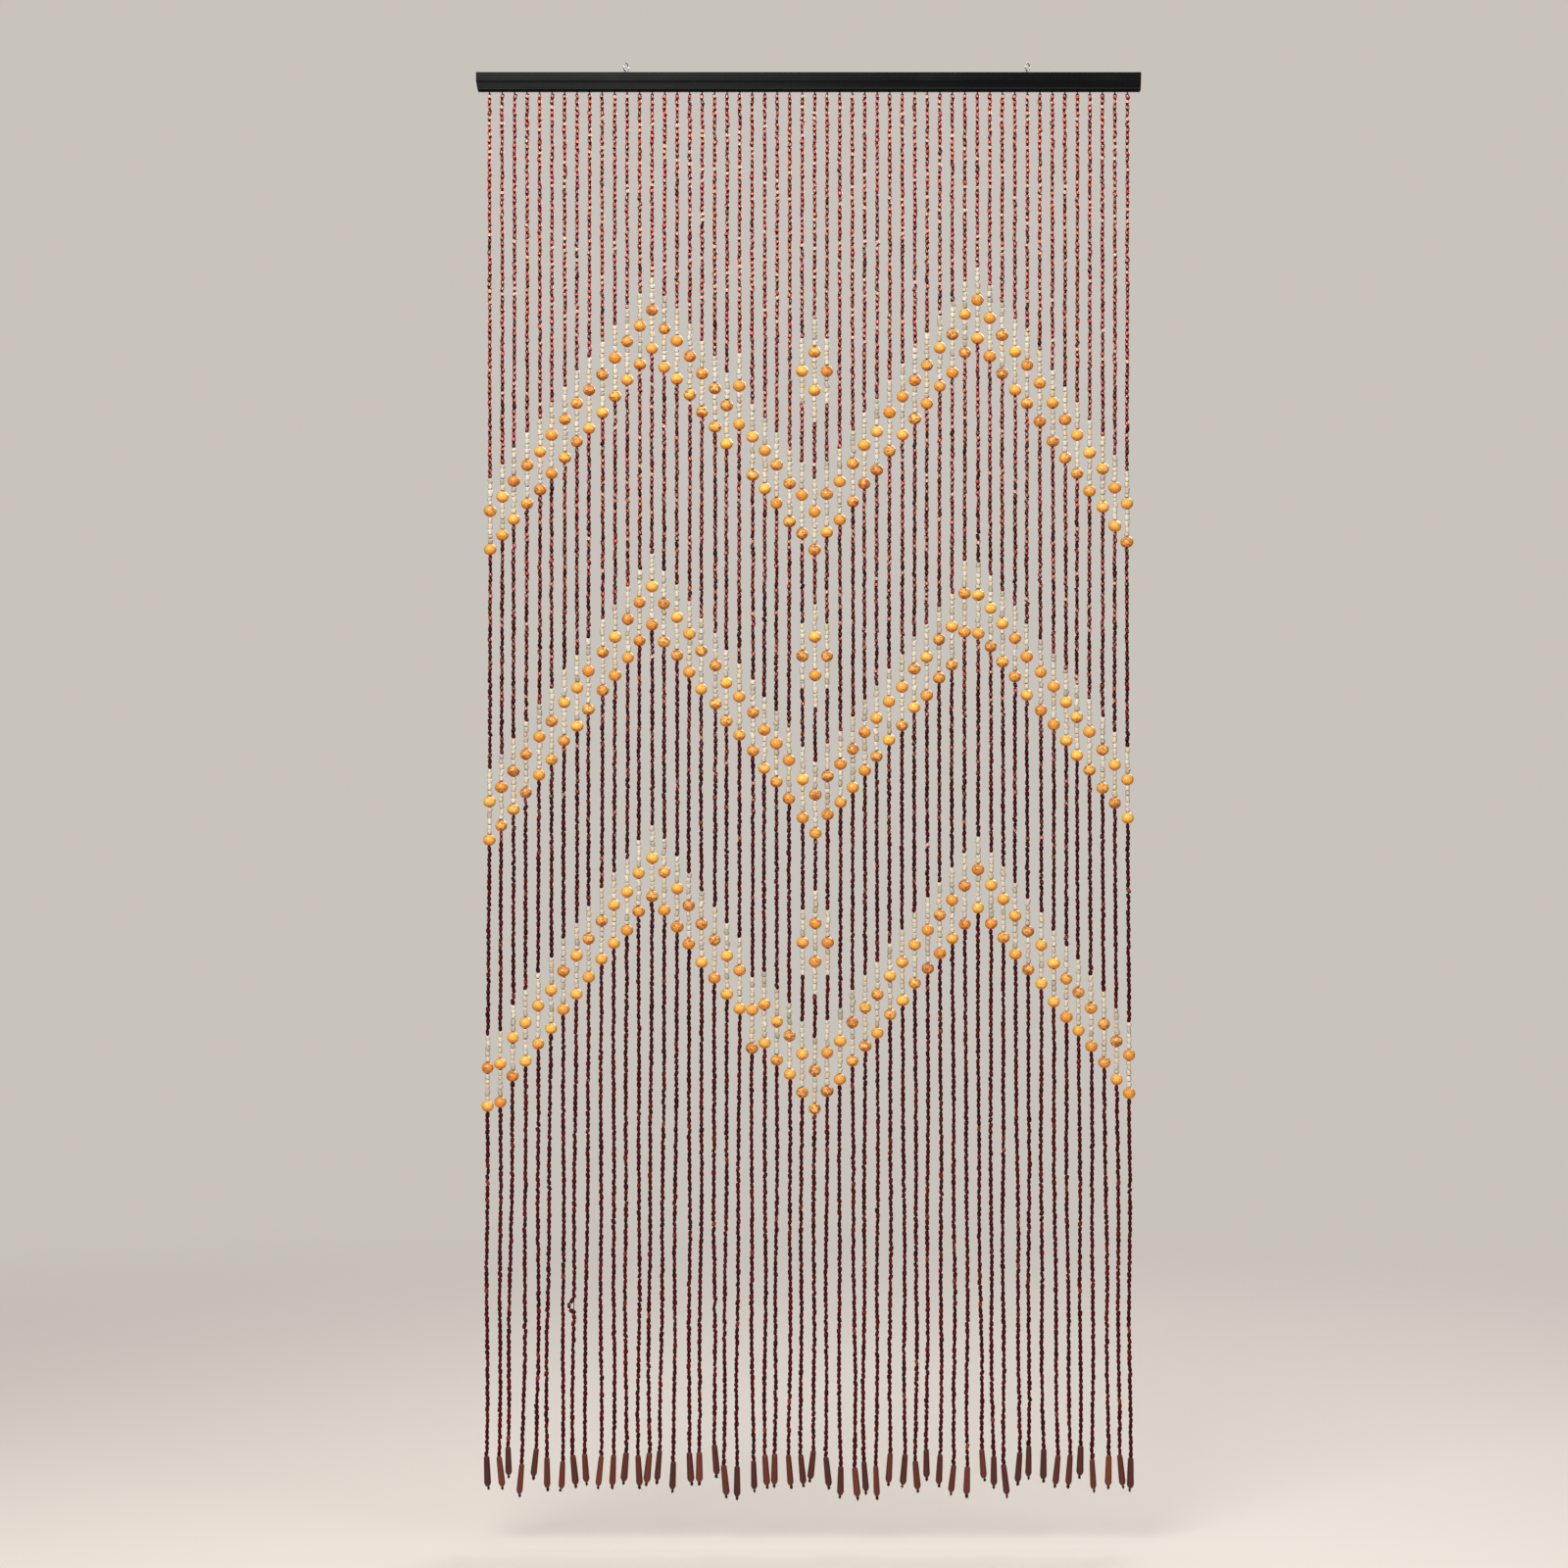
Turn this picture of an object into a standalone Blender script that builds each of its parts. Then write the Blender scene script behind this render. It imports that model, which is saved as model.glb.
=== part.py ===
"""A bead curtain: a moulded rail with two screw eyes, and 52 strands that hang from it.

Metres, +Z up, +X to the right, and the front faces -Y. The origin is on the rail's top,
midway between its ends and its faces, so every strand hangs down from it.
A drop is a distance down a strand, measured from the rail's underside.
"""

import math

import bmesh
import bpy
from mathutils import Vector

# Rail
RAIL_LENGTH = 0.900
RAIL_HEIGHT = 0.025
RAIL_DEPTH = 0.015
RAIL_STEP_DROP = 0.0110
RAIL_STEP_IN = 0.0011
RAIL_FOOT_HEIGHT = 0.0050
RAIL_END_TAPER = 0.0026
RAIL_EDGE = 0.0012

# Screw eyes, bent from one wire each
EYE_X = {"eye_left": -0.247, "eye_right": 0.297}
EYE_WIRE_RADIUS = 0.00095
EYE_RING_RADIUS = 0.0062
EYE_NECK = 0.0012
EYE_SHANK = 0.0130
EYE_TURN = math.radians(62.0)
EYE_RING_START = math.radians(248.0)
EYE_RING_END = math.radians(-34.0)
EYE_RING_STEPS = 15
EYE_BORE_SIDES = 12
EYE_NECK_BEND = (
    # across, up from the neck
    (0.0018, 0.0007),
    (0.0003, -0.0008),
    (0.0000, -0.0025),
)

# Strands
STRANDS = 52
STRAND_PITCH = 0.01694
SECTIONS = 4
STRANDS_PER_SECTION = STRANDS // SECTIONS
STRAND_HALF_WIDTH = 0.0027
ROOT_HALF_WIDTH = 0.0013
ROOT_TAPER = 0.0045
STRAND_LENGTH = 1.848

# Strip that a section's roots are fused into, and the fits and cuts in the rail
STRIP_HEIGHT = 0.0030
STRIP_DEPTH = 0.0050
ROOT_IN_STRIP = 0.0015
CLEARANCE = 0.0003
TOOL_OVERRUN = 0.002

# Golden balls hang in pairs, in three bands. The upper balls of a band follow a
# zigzag, whose drops are given at the strands where it turns.
TURNS = (0, 13, 26, 39, 52)
BANDS = (
    # left end, first peak, middle valley, second peak, right end, diamond's top
    (0.571, 0.298, 0.570, 0.282, 0.580, 0.353),
    (0.965, 0.670, 0.951, 0.681, 0.952, 0.739),
    (1.325, 1.038, 1.326, 1.053, 1.328, 1.127),
)
BALL_PAIR = 0.052
DIAMOND_STRAND = 26
BALL_SCATTER = 0.0030
BALL_HALF_HEIGHT = 0.0080
BALL_SHAPE = (
    # place along the ball's half height, half width
    (-1.00, STRAND_HALF_WIDTH),
    (-0.42, 0.0081),
    (0.42, 0.0081),
    (1.00, STRAND_HALF_WIDTH),
)
HUNG_UNEVENLY = (
    # strand, band, how much higher its two balls hang
    (20, 0, 0.048),
    (38, 1, 0.020),
    (21, 2, -0.027),
    (1, 2, -0.016),
)

# Wooden drop with the small bead under it, at the end of each strand
TIP_SCATTER = 0.0160
TIP_LEAN = math.radians(6.5)
TIP_SHAPE = (
    # distance below the drop's top, half width
    (0.000, 0.0033),
    (0.036, 0.0049),
    (0.0415, 0.0034),
    (0.0425, 0.0014),
    (0.0475, 0.0018),
)

# Which scatter each unevenness takes
BALL_SEED = 1
TIP_SEED = 5
SWAY_SEED = 58
TWIST_SEED = 7
LEAN_SEED = 8
DEPTH_SEED = 9

# How far a strand strays from a plumb line
FAN_OUT = 0.0070
SWAY = 0.0032
SWAY_LENGTH = 1.30
TWIST = 0.0010
TWIST_LENGTH = 0.31
TWIST_FROM = 1.10
DEPTH_SWAY = 0.0020
SWAY_STATIONS = 2

SHARP_ANGLE = math.radians(30.0)


def clear_scene():
    for old in list(bpy.data.objects):
        bpy.data.objects.remove(old, do_unlink=True)


def make_material(name, colour, roughness, metallic=0.0):
    material = bpy.data.materials.new(name)
    material.use_nodes = True
    shader = material.node_tree.nodes["Principled BSDF"]
    shader.inputs["Base Color"].default_value = (*colour, 1.0)
    shader.inputs["Roughness"].default_value = roughness
    shader.inputs["Metallic"].default_value = metallic
    return material


def add_mesh_object(name, shape, material=None):
    """Turn a finished bmesh into an object whose round stretches are shaded smooth."""
    bmesh.ops.recalc_face_normals(shape, faces=shape.faces)
    mesh = bpy.data.meshes.new(name)
    shape.to_mesh(mesh)
    shape.free()
    mesh.shade_smooth()
    mesh.set_sharp_from_angle(angle=SHARP_ANGLE)
    if material:
        mesh.materials.append(material)
    obj = bpy.data.objects.new(name, mesh)
    bpy.context.scene.collection.objects.link(obj)
    return obj


def make_tool(obj):
    """Mark an object that only cuts or joins another."""
    obj.hide_render = True
    obj.display_type = "WIRE"
    return obj


def add_boolean(obj, operation, tool):
    boolean = obj.modifiers.new(tool.name, "BOOLEAN")
    boolean.operation = operation
    boolean.solver = "EXACT"
    boolean.object = tool


def make_box(low, high):
    shape = bmesh.new()
    bmesh.ops.create_cube(shape, size=1.0)
    centre = (Vector(low) + Vector(high)) / 2
    bmesh.ops.scale(shape, vec=Vector(high) - Vector(low), verts=shape.verts)
    bmesh.ops.translate(shape, vec=centre, verts=shape.verts)
    return shape


def scatter(strand, purpose):
    """A value between -1 and 1 that is always the same for a strand and a purpose."""
    return (math.sin(strand * 12.9898 + purpose * 78.233) * 43758.5453) % 2.0 - 1.0


def rail_profile():
    """The rail's outline from behind its top edge, over the front, to the foot: (y, z)."""
    front = -RAIL_DEPTH / 2
    back = RAIL_DEPTH / 2
    fascia = front + RAIL_EDGE / 3
    lower = fascia + RAIL_STEP_IN
    foot = -RAIL_HEIGHT + RAIL_FOOT_HEIGHT
    return (
        (back, 0.0),
        (fascia + RAIL_EDGE, 0.0),
        (fascia, -RAIL_EDGE),
        (fascia, -RAIL_STEP_DROP),
        (lower, -RAIL_STEP_DROP - RAIL_STEP_IN),
        (lower, foot),
        (front + RAIL_EDGE / 3, foot - RAIL_EDGE / 2),
        (front, foot - RAIL_EDGE),
        (front, -RAIL_HEIGHT + RAIL_EDGE),
        (front + RAIL_EDGE, -RAIL_HEIGHT),
        (back, -RAIL_HEIGHT),
    )


def make_rail_blank():
    """The profile run along X, with the ends drawn in a little below the step."""
    shape = bmesh.new()
    outline = [shape.verts.new((-RAIL_LENGTH / 2, y, z)) for y, z in rail_profile()]
    end = shape.faces.new(outline)
    run = bmesh.ops.extrude_face_region(shape, geom=[end])
    far_end = [item for item in run["geom"] if isinstance(item, bmesh.types.BMVert)]
    bmesh.ops.translate(shape, vec=(RAIL_LENGTH, 0.0, 0.0), verts=far_end)
    for vert in shape.verts:
        if vert.co.z < -RAIL_STEP_DROP - CLEARANCE:
            share = min(1.0, (-vert.co.z - RAIL_STEP_DROP) / RAIL_STEP_IN)
            vert.co.x -= math.copysign(RAIL_END_TAPER * share, vert.co.x)
    return shape


def make_groove():
    """The slot along the underside that takes the strips."""
    half_length = STRANDS * STRAND_PITCH / 2 + CLEARANCE
    half_depth = STRIP_DEPTH / 2 + CLEARANCE
    top = -RAIL_HEIGHT + STRIP_HEIGHT + CLEARANCE
    bottom = -RAIL_HEIGHT - TOOL_OVERRUN
    return make_box((-half_length, -half_depth, bottom), (half_length, half_depth, top))


def make_bore(x):
    """The hole that a screw eye's shank goes into."""
    depth = EYE_SHANK + CLEARANCE
    shape = bmesh.new()
    bmesh.ops.create_cone(
        shape,
        cap_ends=True,
        segments=EYE_BORE_SIDES,
        radius1=EYE_WIRE_RADIUS + CLEARANCE,
        radius2=EYE_WIRE_RADIUS + CLEARANCE,
        depth=depth + TOOL_OVERRUN,
    )
    middle = (TOOL_OVERRUN - depth) / 2
    bmesh.ops.translate(shape, vec=(x, 0.0, middle), verts=shape.verts)
    return shape


def build_rail(material):
    rail = add_mesh_object("rail", make_rail_blank(), material)
    add_boolean(rail, "DIFFERENCE", make_tool(add_mesh_object("groove", make_groove())))
    for name, x in EYE_X.items():
        bore = make_tool(add_mesh_object("bore_" + name, make_bore(x)))
        add_boolean(rail, "DIFFERENCE", bore)


def eye_route():
    """The wire's centre line in the eye's own plane: round the ring, then down the shank."""
    centre = EYE_NECK + EYE_RING_RADIUS
    points = []
    for step in range(EYE_RING_STEPS + 1):
        share = step / EYE_RING_STEPS
        angle = EYE_RING_START + (EYE_RING_END - EYE_RING_START) * share
        across = EYE_RING_RADIUS * math.cos(angle)
        points.append((across, centre + EYE_RING_RADIUS * math.sin(angle)))
    points += [(across, EYE_NECK + up) for across, up in EYE_NECK_BEND]
    points.append((0.0, -EYE_SHANK))
    return points


def build_eye(name, x, material):
    curve = bpy.data.curves.new(name, "CURVE")
    curve.dimensions = "3D"
    curve.bevel_depth = EYE_WIRE_RADIUS
    curve.bevel_resolution = 1
    curve.use_fill_caps = True
    route = eye_route()
    spline = curve.splines.new("POLY")
    spline.points.add(len(route) - 1)
    for point, (across, up) in zip(spline.points, route):
        point.co = (across, 0.0, up, 1.0)
    curve.materials.append(material)
    eye = bpy.data.objects.new(name, curve)
    eye.location = (x, 0.0, 0.0)
    eye.rotation_euler = (0.0, 0.0, EYE_TURN)
    bpy.context.scene.collection.objects.link(eye)


def zigzag_drop(strand, band):
    """Drop of a band's upper ball, read along the straight legs between the turns."""
    for leg in range(len(TURNS) - 1):
        first, last = TURNS[leg], TURNS[leg + 1]
        if strand <= last:
            share = (strand - first) / (last - first)
            return BANDS[band][leg] * (1.0 - share) + BANDS[band][leg + 1] * share
    return BANDS[band][len(TURNS) - 1]


def ball_drops(strand):
    """Drops of every golden ball on a strand, from the top down."""
    lifts = {(row[0], row[1]): row[2] for row in HUNG_UNEVENLY}
    drops = []
    for band, row in enumerate(BANDS):
        upper = zigzag_drop(strand, band) - lifts.get((strand, band), 0.0)
        upper += BALL_SCATTER * scatter(strand, BALL_SEED + band)
        drops += [upper, upper + BALL_PAIR]
        aside = abs(strand - DIAMOND_STRAND)
        if aside == 0:
            drops += [row[-1], row[-1] + BALL_PAIR]
        elif aside == 1:
            drops.append(row[-1] + BALL_PAIR / 2)
    return sorted(drops)


def tip_drop(strand):
    return STRAND_LENGTH + TIP_SCATTER * scatter(strand, TIP_SEED)


def strand_place(strand, drop):
    """Centre of a strand at a drop, as it hangs: (x, y)."""
    side = (strand - (STRANDS - 1) / 2) / (STRANDS / 2)
    length = tip_drop(strand)
    hung = min(drop, length)
    share = hung / length
    phase = math.pi * scatter(strand, SWAY_SEED)
    wave = math.sin(math.tau * hung / SWAY_LENGTH + phase) - math.sin(phase)
    phase = math.pi * scatter(strand, TWIST_SEED)
    twist = math.sin(math.tau * hung / TWIST_LENGTH + phase)
    twist *= max(0.0, hung - TWIST_FROM) / (length - TWIST_FROM)
    x = side * STRANDS / 2 * STRAND_PITCH
    x += FAN_OUT * side * share ** 3 + SWAY * share * wave / 2 + TWIST * twist
    x += (drop - hung) * math.tan(TIP_LEAN * scatter(strand, LEAN_SEED))
    y = DEPTH_SWAY * share * math.sin(math.pi * (share + scatter(strand, DEPTH_SEED)))
    return x, y


def strand_stations(strand):
    """Every change of a strand's thickness, from its root down: (drop, half width)."""
    stations = [(-ROOT_IN_STRIP, ROOT_HALF_WIDTH), (ROOT_TAPER, STRAND_HALF_WIDTH)]
    balls = ball_drops(strand)
    for ball in balls:
        stations += [(ball + along * BALL_HALF_HEIGHT, half) for along, half in BALL_SHAPE]
    tip = tip_drop(strand)
    gap = (tip - balls[-1]) / (SWAY_STATIONS + 1)
    for step in range(SWAY_STATIONS):
        stations.append((balls[-1] + gap * (step + 1), STRAND_HALF_WIDTH))
    stations += [(tip + below, half) for below, half in TIP_SHAPE]
    return stations


def add_strand(shape, strand):
    """Push a square face down through the stations, changing its size and place."""
    stations = strand_stations(strand)
    drop, half = stations[0]
    x, y = strand_place(strand, max(0.0, drop))
    here = Vector((x, y, -RAIL_HEIGHT - drop))
    corners = [(-half, -half, 0.0), (half, -half, 0.0), (half, half, 0.0), (-half, half, 0.0)]
    face = shape.faces.new([shape.verts.new(here + Vector(corner)) for corner in corners])
    for drop, wide in stations[1:]:
        x, y = strand_place(strand, drop)
        there = Vector((x, y, -RAIL_HEIGHT - drop))
        end = [face, *face.edges, *face.verts]
        pushed = bmesh.ops.extrude_face_region(shape, geom=end)["geom"]
        face = next(item for item in pushed if isinstance(item, bmesh.types.BMFace))
        for vert in face.verts:
            vert.co = there + (vert.co - here) * (wide / half)
        here, half = there, wide


def build_section(section, material):
    """One strip, and the strands whose roots are fused into it."""
    first = section * STRANDS_PER_SECTION
    left = (first - STRANDS / 2) * STRAND_PITCH + CLEARANCE / 2
    right = left + STRANDS_PER_SECTION * STRAND_PITCH - CLEARANCE
    bottom = -RAIL_HEIGHT
    strip = make_box(
        (left, -STRIP_DEPTH / 2, bottom),
        (right, STRIP_DEPTH / 2, bottom + STRIP_HEIGHT),
    )
    name = "strands_" + str(section + 1)
    node = add_mesh_object(name, strip, material)
    hanging = bmesh.new()
    for strand in range(first, first + STRANDS_PER_SECTION):
        add_strand(hanging, strand)
    add_boolean(node, "UNION", make_tool(add_mesh_object("hanging_" + name, hanging)))


def main():
    clear_scene()
    paint = make_material("black_paint", (0.014, 0.014, 0.015), 0.42)
    wire = make_material("bright_wire", (0.72, 0.72, 0.73), 0.22, 1.0)
    beads = make_material("dark_beads", (0.16, 0.028, 0.026), 0.30)
    build_rail(paint)
    for name, x in EYE_X.items():
        build_eye(name, x, wire)
    for section in range(SECTIONS):
        build_section(section, beads)


main()
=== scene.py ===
# %% [markdown]
# # A bead curtain on its rail
#
# A bead curtain is a wooden rail with some fifty threads knotted into its underside, and each
# thread carries more than two hundred beads. The curtain's character comes from three things:
# the zigzag that the big golden balls draw across the threads, the small differences between
# thousands of dark beads, and the way that every thread hangs a little out of true.
#
# The lesson loads the carpenter's version first, the plain solids of rail, screw eyes and
# strands. Every piece below then takes its place from them.

# %% Load the frame
import math

import bmesh
import bpy
import numpy as np
from mathutils import Matrix, Vector


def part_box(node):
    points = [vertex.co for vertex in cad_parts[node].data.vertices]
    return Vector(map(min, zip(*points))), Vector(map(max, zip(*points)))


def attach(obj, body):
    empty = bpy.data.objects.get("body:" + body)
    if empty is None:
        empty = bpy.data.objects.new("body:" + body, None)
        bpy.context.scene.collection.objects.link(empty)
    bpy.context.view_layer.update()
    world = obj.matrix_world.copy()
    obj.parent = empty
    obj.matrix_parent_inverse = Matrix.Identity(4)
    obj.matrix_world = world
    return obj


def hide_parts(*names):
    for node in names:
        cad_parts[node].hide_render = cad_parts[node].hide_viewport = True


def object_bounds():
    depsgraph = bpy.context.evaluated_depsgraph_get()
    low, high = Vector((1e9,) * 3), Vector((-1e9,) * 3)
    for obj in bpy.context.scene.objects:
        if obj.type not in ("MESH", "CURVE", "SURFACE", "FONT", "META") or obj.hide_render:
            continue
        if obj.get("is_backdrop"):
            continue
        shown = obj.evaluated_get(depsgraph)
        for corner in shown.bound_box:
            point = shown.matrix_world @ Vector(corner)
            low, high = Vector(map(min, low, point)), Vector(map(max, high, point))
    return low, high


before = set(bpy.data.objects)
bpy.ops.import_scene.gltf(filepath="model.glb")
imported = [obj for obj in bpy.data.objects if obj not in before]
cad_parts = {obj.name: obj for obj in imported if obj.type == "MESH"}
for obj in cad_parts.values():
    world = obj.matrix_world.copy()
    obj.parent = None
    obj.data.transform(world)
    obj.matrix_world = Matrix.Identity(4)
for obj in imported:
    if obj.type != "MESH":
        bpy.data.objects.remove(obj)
cad_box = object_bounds()
rail_low, rail_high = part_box("rail")
print("nodes:", sorted(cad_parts))
print("rail:", [round(side * 1000, 1) for side in rail_high - rail_low], "mm")

# %% [markdown]
# ## Writing shader sums as sums
#
# A finish is a small sum over the surface: how far from the hole, how much grain, how much
# lacquer. Wired by hand in the shader editor such a sum is a long row of Math nodes. One small
# class that stands for a socket lets Python's own plus and times add those nodes, so the
# recipe of a finish can be read in one line.

# %% A socket that can be added and multiplied
class Wire:
    """The output of a node, with the operators that a finish's sums need."""

    def __init__(self, finish, socket):
        self.finish = finish
        self.socket = socket

    def math(self, operation, *others):
        sockets = dict(enumerate([self, *others]))
        return self.finish.node("Math", {"operation": operation}, sockets)

    def __add__(self, other):
        return self.math("ADD", other)

    def __sub__(self, other):
        return self.math("SUBTRACT", other)

    def __rsub__(self, other):
        return self.finish.node("Math", {"operation": "SUBTRACT"}, {0: other, 1: self})

    def __mul__(self, other):
        return self.math("MULTIPLY", other)

    __radd__ = __add__
    __rmul__ = __mul__


# %% A material and the one method that adds its nodes
class Finish:
    """A material under construction. The value of a socket is a number, a tuple or a Wire."""

    def __init__(self, name, constants=None):
        self.material = bpy.data.materials.new(name)
        self.material.use_nodes = True
        self.tree = self.material.node_tree
        self.shader = self.tree.nodes["Principled BSDF"]
        for socket, value in (constants or {}).items():
            self.shader.inputs[socket].default_value = value

    def node(self, kind, settings=None, sockets=None, out=0):
        node = self.tree.nodes.new("ShaderNode" + kind)
        for key, value in (settings or {}).items():
            if key == "stops":
                self.set_stops(node.color_ramp, value)
            else:
                setattr(node, key, value)
        for key, value in (sockets or {}).items():
            self.feed(node.inputs[key], value)
        return Wire(self, node.outputs[out])

    def feed(self, socket, value):
        if isinstance(value, Wire):
            self.tree.links.new(value.socket, socket)
        else:
            socket.default_value = value

    def set_stops(self, ramp, stops):
        while len(ramp.elements) < len(stops):
            ramp.elements.new(1.0)
        for element, (place, colour) in zip(ramp.elements, stops):
            element.position = place
            element.color = (*colour, 1.0)

    def mix(self, first, second, share, blend="MIX"):
        """Two colours mixed. A plain colour is a tuple of red, green and blue."""
        ends = [(*c, 1.0) if isinstance(c, tuple) else c for c in (first, second)]
        settings = {"data_type": "RGBA", "blend_type": blend}
        return self.node("Mix", settings, {0: share, 6: ends[0], 7: ends[1]}, out=2)

    def step(self, value, low, high):
        """0 below low, 1 above high, and a soft rise between. Low may be the greater."""
        settings = {"interpolation_type": "SMOOTHSTEP"}
        return self.node("MapRange", settings, {0: value, 1: low, 2: high})

    def noise(self, vector, scale, detail=3.0, rough=0.55, distortion=0.0):
        sockets = {
            "Vector": vector,
            "Scale": scale,
            "Detail": detail,
            "Roughness": rough,
            "Distortion": distortion,
        }
        return self.node("TexNoise", {}, sockets)

    def object_place(self, scale=(1.0, 1.0, 1.0)):
        """The place on the object in metres, stretched by scale."""
        place = self.node("TexCoord", {}, {}, out=3)
        return self.node("Mapping", {}, {"Vector": place, "Scale": scale})

    def bump(self, height, strength, distance):
        sockets = {"Strength": strength, "Distance": distance, "Height": height}
        self.paint("Normal", self.node("Bump", {}, sockets))

    def paint(self, socket, value):
        self.feed(self.shader.inputs[socket], value)

    def tell(self):
        print(self.material.name, "has", len(self.tree.nodes), "nodes")


# %% [markdown]
# ## Camera and light
#
# The curtain is seen straight on, from about five metres, so no strand leans with perspective.
# The picture takes in about 2.1 m, and the rail's middle lies a little right of its centre.
# Beads look like beads because each one mirrors the lamps in a small bright spot and is dark
# round its edge. A tall soft light in front and to the left gives that spot, and a weaker one
# on the right keeps the shaded sides open. A light from above is for the rail's top and the
# floor, and one behind is for the curtain's back. The air looks pale, but it would wash out
# the dark edges if it also lit the beads at that strength: the Light Path node lets the camera
# see pale air while the surfaces get a dimmer one. The floor turns transparent with distance
# and so fades into the air.

# %% The camera
PICTURE_PIXELS = 1600
METRES_PER_PIXEL = 0.900 / 678.0
RAIL_MIDDLE_PIXEL = Vector((825.0, 74.3))
LENS, SENSOR = 85.0, 36.0
picture_side = PICTURE_PIXELS * METRES_PER_PIXEL
camera_away = picture_side * LENS / SENSOR
from_middle = (Vector((0.5, 0.5)) * PICTURE_PIXELS - RAIL_MIDDLE_PIXEL) * METRES_PER_PIXEL

camera_data = bpy.data.cameras.new("camera")
camera_data.lens = LENS
camera_data.sensor_width = SENSOR
camera = bpy.data.objects.new("camera", camera_data)
camera.location = (from_middle.x, -camera_away, rail_high.z - from_middle.y)
camera.rotation_euler = (math.radians(90.0), 0.0, 0.0)
bpy.context.scene.collection.objects.link(camera)
bpy.context.scene.camera = camera
print("picture side:", round(picture_side, 3), "m, camera", round(camera_away, 3), "m away")

# %% Lights and air
AIR_COLOUR = (0.58, 0.545, 0.500)
AIR_SEEN = 1.0
AIR_LIGHT = 0.10
LIGHTS = (
    # name, place, aims at, width, height, watts
    ("key", (-1.2, -3.2, 1.0), (0.0, 0.0, -0.9), 2.0, 2.2, 185.0),
    ("fill", (2.4, -2.8, -0.2), (0.0, 0.0, -1.0), 1.2, 2.2, 34.0),
    ("above", (0.0, 0.0, 2.6), (0.0, 0.0, -2.0), 3.0, 3.0, 60.0),
    ("behind", (1.2, 3.2, 1.2), (0.0, 0.0, -0.9), 2.0, 2.2, 90.0),
)


def add_light(name, place, aim, width, height, watts):
    """A rectangle of light at a place, turned to the point that it aims at."""
    data = bpy.data.lights.new(name, "AREA")
    data.shape = "RECTANGLE"
    data.size, data.size_y, data.energy = width, height, watts
    light = bpy.data.objects.new(name, data)
    light.location = place
    light.rotation_euler = (Vector(aim) - Vector(place)).to_track_quat("-Z", "Y").to_euler()
    bpy.context.scene.collection.objects.link(light)


for row in LIGHTS:
    add_light(*row)
world = bpy.data.worlds.new("air")
world.use_nodes = True
nodes, links = world.node_tree.nodes, world.node_tree.links
rays = nodes.new("ShaderNodeLightPath")
strength = nodes.new("ShaderNodeMapRange")
strength.inputs["To Min"].default_value = AIR_LIGHT
strength.inputs["To Max"].default_value = AIR_SEEN
links.new(rays.outputs["Is Camera Ray"], strength.inputs["Value"])
links.new(strength.outputs["Result"], nodes["Background"].inputs["Strength"])
nodes["Background"].inputs["Color"].default_value = (*AIR_COLOUR, 1.0)
bpy.context.scene.world = world
bpy.context.scene.view_settings.view_transform = "Standard"
print("lights:", [row[0] for row in LIGHTS])

# %% The floor
FLOOR_BELOW = 0.060
FLOOR_RADIUS = 5.0
FLOOR_SIDES = 96
FLOOR_FADES = (0.7, 4.0)
FLOOR_COLOUR = (0.74, 0.68, 0.61)

shape = bmesh.new()
bmesh.ops.create_circle(shape, cap_ends=True, segments=FLOOR_SIDES, radius=FLOOR_RADIUS)
bmesh.ops.translate(shape, vec=(0.0, 0.0, cad_box[0].z - FLOOR_BELOW), verts=shape.verts)
floor_mesh = bpy.data.meshes.new("floor")
shape.to_mesh(floor_mesh)
shape.free()
floor = bpy.data.objects.new("floor", floor_mesh)
bpy.context.scene.collection.objects.link(floor)

paint = Finish("pale_floor", {"Roughness": 0.75})
on_floor = paint.object_place((1.0, 1.0, 0.0))
away = paint.node("VectorMath", {"operation": "LENGTH"}, {0: on_floor}, out=1)
paint.paint("Base Color", (*FLOOR_COLOUR, 1.0))
shader = Wire(paint, paint.shader.outputs[0])
clear = paint.node("BsdfTransparent")
faded = paint.node("MixShader", {}, {0: paint.step(away, *FLOOR_FADES), 1: shader, 2: clear})
paint.feed(paint.tree.nodes["Material Output"].inputs["Surface"], faded)
floor_mesh.materials.append(paint.material)
floor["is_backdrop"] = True
paint.tell()
print("floor at", round(cad_box[0].z - FLOOR_BELOW, 3), "m")

# %% [markdown]
# ## The rail
#
# The rail is a slat run through a moulding cutter: an upper face, a small step in at about
# half its height, and a rounded foot along the bottom. A profile drawn once and extruded is
# just how the cutter works. Below the step both ends run in a little, the left one more. The
# edges are then bevelled, because paint never holds on a sharp arris, and the bevels catch
# the thin lines of light that show where the rail's step is.

# %% From a bmesh to a piece, and the settled mesh of a piece
SHARP_ANGLE = math.radians(35.0)


def make_piece(name, shape, finish):
    """Turn a bmesh into a piece that rides with the curtain."""
    mesh = bpy.data.meshes.new(name)
    shape.to_mesh(mesh)
    shape.free()
    mesh.shade_smooth()
    mesh.set_sharp_from_angle(angle=SHARP_ANGLE)
    return dress(name, mesh, finish)


def triangles(mesh):
    """How many triangles a mesh's faces make."""
    return sum(len(polygon.vertices) - 2 for polygon in mesh.polygons)


def dress(name, mesh, finish):
    """Give a mesh its finish, and let it ride with the curtain as a piece."""
    mesh.materials.clear()
    mesh.materials.append(finish.material)
    piece = bpy.data.objects.new(name, mesh)
    bpy.context.scene.collection.objects.link(piece)
    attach(piece, "root")
    print(name, "has", triangles(mesh), "triangles")
    return piece


def settled_mesh(thing):
    """The mesh that an object's modifiers or its curve make."""
    graph = bpy.context.evaluated_depsgraph_get()
    return bpy.data.meshes.new_from_object(thing.evaluated_get(graph))


def settle(piece):
    """Give a piece the mesh that its modifiers make, and take the modifiers off."""
    mesh = settled_mesh(piece)
    piece.modifiers.clear()
    piece.data = mesh


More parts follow.
